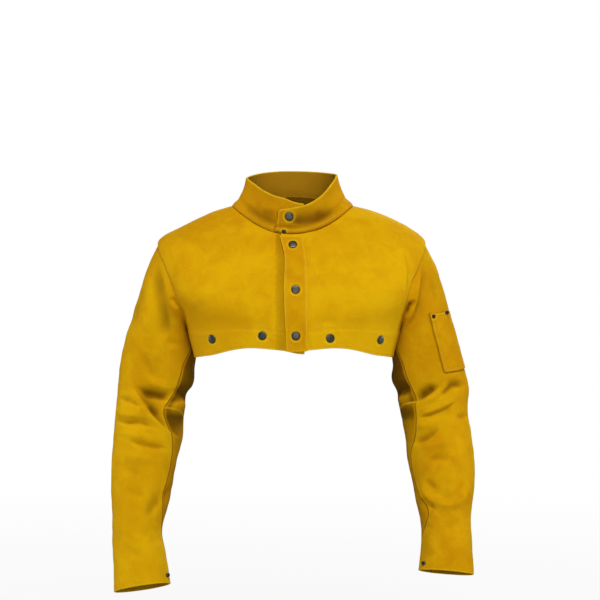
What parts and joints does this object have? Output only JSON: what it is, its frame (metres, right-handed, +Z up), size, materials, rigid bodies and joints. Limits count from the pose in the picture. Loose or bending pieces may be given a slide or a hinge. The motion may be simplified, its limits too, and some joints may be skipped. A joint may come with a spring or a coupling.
{
  "type": "leather welding cape sleeves",
  "caption": "Cropped leather welding cape with long sleeves, a snapped stand collar, a snapped front placket, a pen pocket on one sleeve, and snaps along the front hem for a bib.",
  "frame": {"origin": "on the wearer's upright axis, at the height of the neck seam on top of the shoulders", "axes": "+Z up along the standing wearer, -Y the wearer's front, +X the wearer's left"},
  "size_m": [0.6362, 0.2546, 0.7421],
  "materials": {
    "split_leather": "golden yellow split cowhide with a short suede nap",
    "snap_metal": "dark oxidised snap caps with a low shine",
    "rivet_metal": "dark oxidised small rivets"
  },
  "bodies": {
    "root": {"collar": "split_leather", "right_front_panel": "split_leather", "left_front_panel": "split_leather", "front_placket": "split_leather", "back_panel": "split_leather", "right_hem_facing": "split_leather", "left_hem_facing": "split_leather", "right_top_sleeve": "split_leather", "right_under_sleeve_upper": "split_leather", "right_under_sleeve_lower": "split_leather", "left_top_sleeve": "split_leather", "left_under_sleeve_upper": "split_leather", "left_under_sleeve_lower": "split_leather", "sleeve_pocket": "split_leather", "collar_snap": "snap_metal", "placket_snap_1": "snap_metal", "placket_snap_2": "snap_metal", "placket_snap_3": "snap_metal", "hem_snap_1": "snap_metal", "hem_snap_2": "snap_metal", "hem_snap_3": "snap_metal", "hem_snap_4": "snap_metal", "collar_rivet": "rivet_metal", "pocket_rivet_1": "rivet_metal", "pocket_rivet_2": "rivet_metal", "right_cuff_rivet": "rivet_metal", "left_cuff_rivet": "rivet_metal"}
  },
  "joints": []
}
